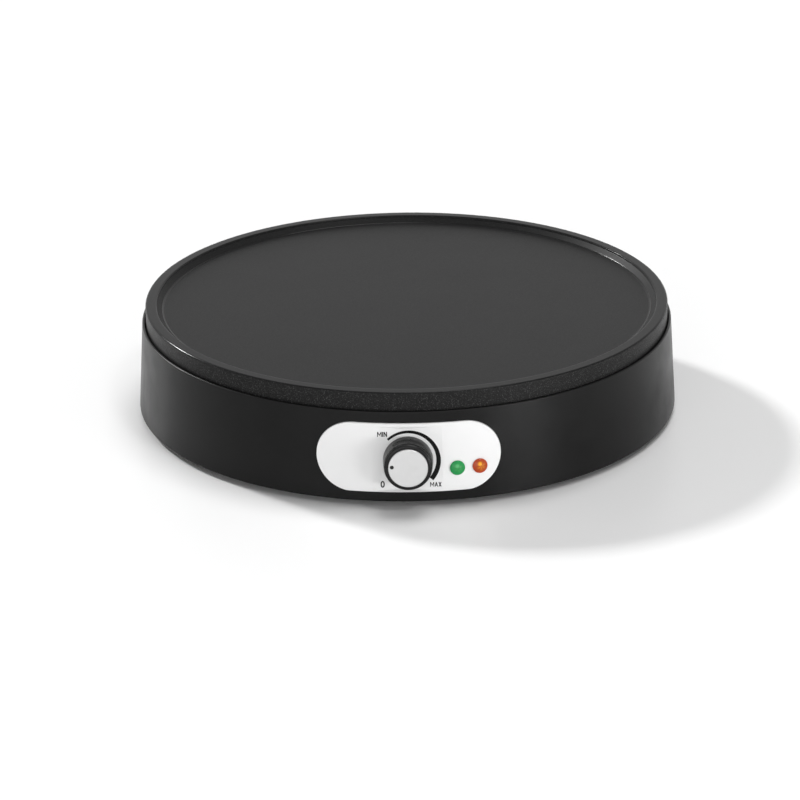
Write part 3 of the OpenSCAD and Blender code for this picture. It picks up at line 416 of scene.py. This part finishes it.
def lit_lens(name, edge, body, painted_glow_tone, painted_highlight, painted_glow_strength):
    """Tinted lens over a lamp: deep at its edge, with a painted glow of the lit lamp behind in its middle, a
    painted highlight spot and facets on its inner face. It also emits its colour weakly, as painted glow.
    """
    n = Nodes(name)
    x, y, _ = n.split(n.mapped(matrix=lens_frame(name)))
    radius = n.length(x, y)
    angle = n.math("ARCTAN2", y, x)
    facets = n.math("ABSOLUTE", n.math("SINE", n.times(angle, FACETS / 2)))
    spot_x, spot_y = in_metres(HIGHLIGHT_SPOT)
    from_highlight_spot = n.length(n.minus(x, spot_x), n.minus(y, spot_y))

    # The painted glow of the lit lamp: strongest in the middle, dimmed between the facets and by a cloud
    middle = n.fade(radius, *in_metres(PAINTED_GLOW_REACH))
    middle = n.times(middle, n.spread(facets, *FACET_VALUES, FACET_SHADE, 1))
    cloud = n.spread(n.noise(scale=900, detail=2), *CLOUD_VALUES, CLOUD_SHADE, 1)
    base = n.mix(n.spread(radius, *in_metres(LENS_EDGE)), tone(body), tone(edge))
    base = n.mix(n.times(cloud, middle), base, tone(painted_glow_tone))
    # a painted highlight spot
    base = n.mix(n.fade(from_highlight_spot, *in_metres(HIGHLIGHT_SPOT_REACH)), base, tone(painted_highlight))
    height = n.times(facets, n.fade(radius, *in_metres(FACET_REACH)))
    n.set(
        Base_Color=base,
        Roughness=n.spread(facets, 0, 1, *FACET_ROUGH),
        Specular_IOR_Level=0.2,
        Coat_Weight=0.1,
        Coat_Roughness=0.05,
        # the lens emits its colour as a painted glow of the lamp behind
        Emission_Color=base,
        Emission_Strength=painted_glow_strength,
        Normal=n.bump(height, FACET_HEIGHT),
    )
    return n.material


# ---------- A material for each slot of the record ----------

MATERIALS = {"plate_coating": plate_coating(), "cap_metal": spun_cap()}
for name, finish in FINISHES.items():
    MATERIALS[name] = moulded(name, **finish)
for name, tint in LENSES.items():
    MATERIALS[name] = lit_lens(name, **tint)

slot_of = {part["node"]: part["material_slot"] for part in frame["record"]["subparts"]}
for name, obj in frame["nodes"].items():
    obj.data.materials.clear()
    obj.data.materials.append(MATERIALS[slot_of[name]])


# ---------- Printed marks around the dial ----------

PRINT_THICKNESS = 0.04 * MM
INK = moulded("panel_ink", colour=0.004, rough=0.42, specular=0.1, mottle=(900, 0.1))


def on_seat(bm, name):
    """Lays a thin mesh, drawn in the dial's frame, on the flat seat of the panel."""
    mesh = bpy.data.meshes.new(name)
    bm.to_mesh(mesh)
    bm.free()
    obj = bpy.data.objects.new(name, mesh)
    obj.matrix_world = DIAL_FRAME @ Matrix.Translation((0, 0, SEAT_LEVEL))
    bpy.context.scene.collection.objects.link(obj)
    mesh.materials.append(INK)
    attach(obj, "cooker")


def thicken(bm):
    """Turns flat faces that look outwards into a thin closed layer."""
    raised = bmesh.ops.extrude_face_region(bm, geom=bm.faces[:])["geom"]
    top = [piece for piece in raised if isinstance(piece, bmesh.types.BMVert)]
    bmesh.ops.translate(bm, vec=(0, 0, PRINT_THICKNESS), verts=top)
    bmesh.ops.recalc_face_normals(bm, faces=bm.faces[:])


def flat_band(bm, rows):
    """A band of flat faces through pairs of places."""
    rows = [[bm.verts.new(place) for place in row] for row in rows]
    for (a, b), (c, d) in zip(rows, rows[1:]):
        bm.faces.new((a, b, d, c))


# Angles in degrees, anticlockwise from the right of the dial, seen from the front.
SWEEP_FROM = 133.0
SWEEP_TO = -41.0
SWEEP_INNER = 16.2 * MM  # radius
SWEEP_STEPS = 96
# The share of the way along the sweep, and its width there in millimetres.
SWEEP_WIDTHS = ((0.0, 1.35), (0.35, 1.85), (0.75, 2.6), (1.0, 2.8))


def sweep_width(share):
    """The sweep's width at a share of the way along it, from 0 to 1."""
    for (start, start_width), (end, end_width) in zip(SWEEP_WIDTHS, SWEEP_WIDTHS[1:]):
        if share <= end:
            along = (share - start) / (end - start)
            return (start_width + (end_width - start_width) * along) * MM


def temperature_sweep():
    """An arc around the dial that grows from the lowest to the highest setting."""
    bm = bmesh.new()
    rows = []
    for i in range(SWEEP_STEPS + 1):
        share = i / SWEEP_STEPS
        angle = math.radians(SWEEP_FROM + (SWEEP_TO - SWEEP_FROM) * share)
        radii = (SWEEP_INNER, SWEEP_INNER + sweep_width(share))
        rows.append([(r * math.cos(angle), r * math.sin(angle), 0) for r in radii])
    flat_band(bm, rows)
    thicken(bm)
    on_seat(bm, "temperature_sweep")


OVAL_STEP = 15  # degrees


def oval():
    """A closed oval in a square from 0 to 1."""
    angles = [math.radians(a) for a in range(0, 361, OVAL_STEP)]
    return tuple(((1 + math.sin(a)) / 2, (1 + math.cos(a)) / 2) for a in angles)


# Each letter's width and the width of its pen, as shares of its height, and its strokes, as places
# in a square from 0 to 1.
GLYPHS = {
    "M": (0.7, 0.155, (((0, 0), (0, 1)), ((0, 1), (0.5, 0.3), (1, 1)), ((1, 1), (1, 0)))),
    "I": (0.0, 0.2, (((0, 0), (0, 1)),)),
    "N": (0.48, 0.175, (((0, 0), (0, 1)), ((0, 1), (1, 0)), ((1, 0), (1, 1)))),
    "A": (0.54, 0.18, (((0, 0), (0.5, 1)), ((0.5, 1), (1, 0)), ((0.18, 0.32), (0.82, 0.32)))),
    "X": (0.48, 0.2, (((0, 0), (1, 1)), ((0, 1), (1, 0)))),
    "0": (0.5, 0.22, (oval(),)),
}
LETTER_GAP = 0.27  # of the height
CLOSED_WITHIN = 0.001 * MM  # a stroke whose ends are nearer than this is closed
SHARPEST_MITRE = 0.5  # a corner's reach is at most half the pen's width divided by this


def beside(step):
    """The direction to the right of a step in the plane of the print."""
    return Vector((step.y, -step.x, 0))


def pen_stroke(bm, points, width):
    """A flat band along a line of points, mitred at its corners."""
    points = [Vector(point).to_3d() for point in points]
    closed = (points[0] - points[-1]).length < CLOSED_WITHIN
    steps = [(end - start).normalized() for start, end in zip(points, points[1:])]
    steps_in = [steps[-1] if closed else steps[0]] + steps
    steps_out = steps + [steps[0] if closed else steps[-1]]
    rows = []
    for point, step_in, step_out in zip(points, steps_in, steps_out):
        side = beside((step_in + step_out).normalized())
        reach = width / 2 / max(SHARPEST_MITRE, side.dot(beside(step_in)))
        rows.append((point - side * reach, point + side * reach))
    flat_band(bm, rows)


def lettering(words, name, centre, height):
    """Generic marks in plain upright strokes, centred on a place of the seat."""
    bm = bmesh.new()
    length = sum(GLYPHS[letter][0] for letter in words) + LETTER_GAP * (len(words) - 1)
    left = centre[0] - length / 2 * height
    foot = centre[1] - height / 2
    for letter in words:
        wide, pen, strokes = GLYPHS[letter]
        for stroke in strokes:
            points = [(left + x * wide * height, foot + y * height) for x, y in stroke]
            pen_stroke(bm, points, pen * height)
        left += (wide + LETTER_GAP) * height
    thicken(bm)
    on_seat(bm, name)


temperature_sweep()
lettering("0", "mark_off", centre=(-14.7 * MM, -14.6 * MM), height=3.4 * MM)
lettering("MIN", "mark_min", centre=(-14.7 * MM, 15.7 * MM), height=3.0 * MM)
lettering("MAX", "mark_max", centre=(15.8 * MM, -14.9 * MM), height=2.7 * MM)


# ---------- Camera ----------

IMAGE = 800  # pixels
FOCUS_PX = 3277.86  # focal length in pixels
SENSOR = 36.0  # millimetres
CLIP = (0.05, 20)  # metres
CAMERA_BACK = 1.8900  # from the cooker's axis
CAMERA_UP = 0.7640
# How far the camera turns, in degrees: to the right, down and anticlockwise.
CAMERA_YAW = -0.140
CAMERA_PITCH = 22.027
CAMERA_ROLL = -0.6435


def put_camera():
    """The camera, where the ellipses of the photograph put it."""
    yaw = math.radians(CAMERA_YAW)
    pitch = math.radians(CAMERA_PITCH)
    roll = math.radians(CAMERA_ROLL)
    forward = Vector((
        math.sin(yaw) * math.cos(pitch),
        math.cos(yaw) * math.cos(pitch),
        -math.sin(pitch),
    ))
    level = forward.cross(Vector((0, 0, 1))).normalized()
    upright = level.cross(forward)
    right = math.cos(roll) * level + math.sin(roll) * upright
    up = math.cos(roll) * upright - math.sin(roll) * level
    data = bpy.data.cameras.new("camera")
    data.sensor_width = SENSOR
    data.lens = FOCUS_PX * SENSOR / IMAGE
    data.clip_start, data.clip_end = CLIP
    camera = bpy.data.objects.new("camera", data)
    camera.matrix_world = Matrix((
        (right.x, up.x, -forward.x, 0),
        (right.y, up.y, -forward.y, AXIS_Y - CAMERA_BACK),
        (right.z, up.z, -forward.z, CAMERA_UP),
        (0, 0, 0, 1),
    ))
    bpy.context.scene.collection.objects.link(camera)
    bpy.context.scene.camera = camera


put_camera()


# ---------- Floor and light ----------

AMBIENT = 0.20  # the strength of the studio's light on rough surfaces
WHITE = 1.0  # its strength where the camera, a mirrored or a refracted ray sees it
FLOOR_TONE = 0.9
FLOOR_REACH = 6.0  # from the middle to each side


def seen_white(tree):
    """1 for rays from the camera and for mirrored or refracted ones, which see the white studio."""
    path = tree.nodes.new("ShaderNodeLightPath")
    total = path.outputs["Is Camera Ray"]
    for key in ("Is Glossy Ray", "Is Transmission Ray"):
        join = tree.nodes.new("ShaderNodeMath")
        join.operation = "MAXIMUM"
        tree.links.new(total, join.inputs[0])
        tree.links.new(path.outputs[key], join.inputs[1])
        total = join.outputs[0]
    return total


def make_world():
    """A white studio, dimmer where it lights rough surfaces."""
    world = bpy.data.worlds.new("studio")
    world.use_nodes = True
    bpy.context.scene.world = world
    tree = world.node_tree
    background = next(n for n in tree.nodes if n.type == "BACKGROUND")
    background.inputs["Color"].default_value = tone(1.0)
    level = tree.nodes.new("ShaderNodeMapRange")
    tree.links.new(seen_white(tree), level.inputs["Value"])
    level.inputs["To Min"].default_value = AMBIENT
    level.inputs["To Max"].default_value = WHITE
    tree.links.new(level.outputs["Result"], background.inputs["Strength"])


def make_floor():
    """A plain pale floor under the feet, at z = 0."""
    corners = [(-1, -1), (1, -1), (1, 1), (-1, 1)]
    places = [(x * FLOOR_REACH, y * FLOOR_REACH, 0) for x, y in corners]
    mesh = bpy.data.meshes.new("floor")
    mesh.from_pydata(places, [], [(0, 1, 2, 3)])
    floor = bpy.data.objects.new("floor", mesh)
    bpy.context.scene.collection.objects.link(floor)
    n = Nodes("floor")
    n.set(Base_Color=tone(FLOOR_TONE), Roughness=0.3, Specular_IOR_Level=0.12)
    mesh.materials.append(n.material)


COOKER_MIDDLE = (0, 0, 0.03)  # roughly, for the lamps to aim at
SUN_DISTANCE = 3  # only where the lamp stands: a sun shines alike from any distance


def aimed(name, data, towards, distance, aim=COOKER_MIDDLE):
    """Puts a light in a direction from a place, aimed at it."""
    lamp = bpy.data.objects.new(name, data)
    direction = Vector(towards).normalized()
    lamp.location = Vector(aim) + direction * distance
    lamp.rotation_euler = (-direction).to_track_quat("-Z", "Y").to_euler()
    bpy.context.scene.collection.objects.link(lamp)
    return lamp


def broad_sun(name, towards, strength, spread):
    """Parallel light from a disc that is spread degrees wide."""
    data = bpy.data.lights.new(name, "SUN")
    data.energy = strength
    data.angle = math.radians(spread)
    aimed(name, data, towards, SUN_DISTANCE)


def softbox(name, towards, distance, size, watts, aim):
    """A flat lamp that the camera doesn't see."""
    data = bpy.data.lights.new(name, "AREA")
    data.shape = "RECTANGLE"
    data.size, data.size_y = size
    data.energy = watts
    aimed(name, data, towards, distance, aim).visible_camera = False


make_world()
make_floor()
broad_sun("key", towards=(-0.60, 0.56, 0.53), strength=2.25, spread=7)
broad_sun("top", towards=(0.16, 0.22, 0.96), strength=1.3, spread=28)
broad_sun("front_right", towards=(0.60, -0.79, 0.10), strength=0.25, spread=34)
broad_sun("front_left", towards=(-0.30, -0.95, 0.10), strength=1.15, spread=50)
broad_sun("high_front", towards=(0.35, -0.38, 0.85), strength=0.3, spread=8)
softbox("low_card", towards=(0.73, -0.68, 0.04), distance=0.75, size=(0.26, 0.06), watts=2.1,
        aim=(0.08, -0.13, 0.02))

bpy.context.scene.view_settings.view_transform = "Standard"
